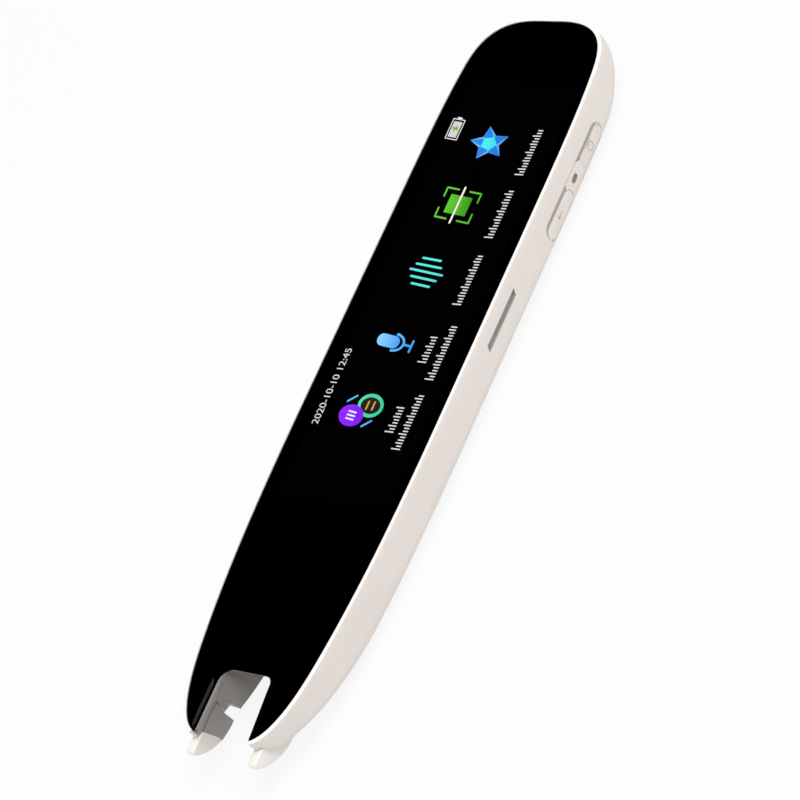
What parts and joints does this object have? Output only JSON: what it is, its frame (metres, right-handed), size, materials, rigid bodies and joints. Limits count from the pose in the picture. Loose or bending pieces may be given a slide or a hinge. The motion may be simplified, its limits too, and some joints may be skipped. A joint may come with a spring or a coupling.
{
  "type": "handheld translator",
  "caption": "Slim pen-shaped handheld translator with a full-length front glass, side keys, a speaker in its back and a forked scanning nose on sprung skids.",
  "frame": {"origin": "centre of the bounding box's underside, where the brushed back panel lies on a table", "axes": "+Z out of the screen, +Y along the pen to the charging end, +X to the side with the keys and the card slot"},
  "size_m": [0.034, 0.1554, 0.0118],
  "materials": {
    "cover_glass": "gloss, printed black behind",
    "black_foam": "matt",
    "display": "gloss",
    "steel": "satin",
    "polyimide": "satin",
    "frame_grey": "matt",
    "shell_white": "satin",
    "hood_white": "satin",
    "ring_white": "gloss",
    "brushed_metal": "brushed along the length",
    "badge_black": "gloss",
    "mesh_grey": "fine mesh",
    "dark_cone": "matt",
    "magnet": "plated",
    "board_green": "solder mask",
    "black_plastic": "matt",
    "cell_foil": "satin foil",
    "grey_tape": "matt",
    "lens_glass": "clear",
    "lamp_white": "gloss",
    "skid_milky": "translucent, satin",
    "yoke_white": "matt",
    "boot_rubber": "matt"
  },
  "bodies": {
    "body": {"front_glass": "cover_glass", "glass_adhesive": "black_foam", "display_panel": "display", "backlight": "steel", "display_flex": "polyimide", "mid_frame": "frame_grey", "body_shell": "shell_white", "scan_hood": "hood_white", "inlay_frame": "ring_white", "brushed_panel": "brushed_metal", "sound_badge": "badge_black", "speaker_mesh": "mesh_grey", "speaker_gasket": "black_foam", "speaker_frame": "steel", "speaker_cone": "dark_cone", "speaker_magnet": "magnet", "main_board": "board_green", "processor": "black_plastic", "shield_can": "steel", "memory_chip": "black_plastic", "usb_socket": "steel", "usb_tongue": "black_plastic", "card_socket": "steel", "battery": "cell_foil", "battery_tape": "grey_tape", "battery_lead": "polyimide", "scan_board": "board_green", "scan_flex": "polyimide", "camera_body": "black_plastic", "camera_lens": "lens_glass", "lens_window": "lens_glass", "scan_leds": "lamp_white", "light_guides": "lens_glass", "nib_switch": "black_plastic", "nib_spring": "steel", "spring_seat": "black_plastic", "key_bezel": "shell_white", "key_board": "board_green", "key_switches": "steel", "key_flex": "polyimide", "microphone": "steel", "mic_boot": "boot_rubber", "board_screws": "steel"},
    "power_key": {"power_key": "shell_white"},
    "back_key": {"back_key": "shell_white"},
    "nib": {"nib_yoke": "yoke_white", "left_skid": "skid_milky", "right_skid": "skid_milky", "nib_plunger": "steel"}
  },
  "joints": [
    {"name": "power_key_press", "type": "slide", "parent": "body", "child": "power_key", "axis": [-1, 0, 0], "range_m": [0, 0.0003], "stiffness_N_per_m": 1500},
    {"name": "back_key_press", "type": "slide", "parent": "body", "child": "back_key", "axis": [-1, 0, 0], "range_m": [0, 0.0003], "stiffness_N_per_m": 1500},
    {"name": "nib_press", "type": "slide", "parent": "body", "child": "nib", "axis": [0, 1, 0], "range_m": [0, 0.0012], "stiffness_N_per_m": 500, "deforming": ["nib_spring"]}
  ]
}
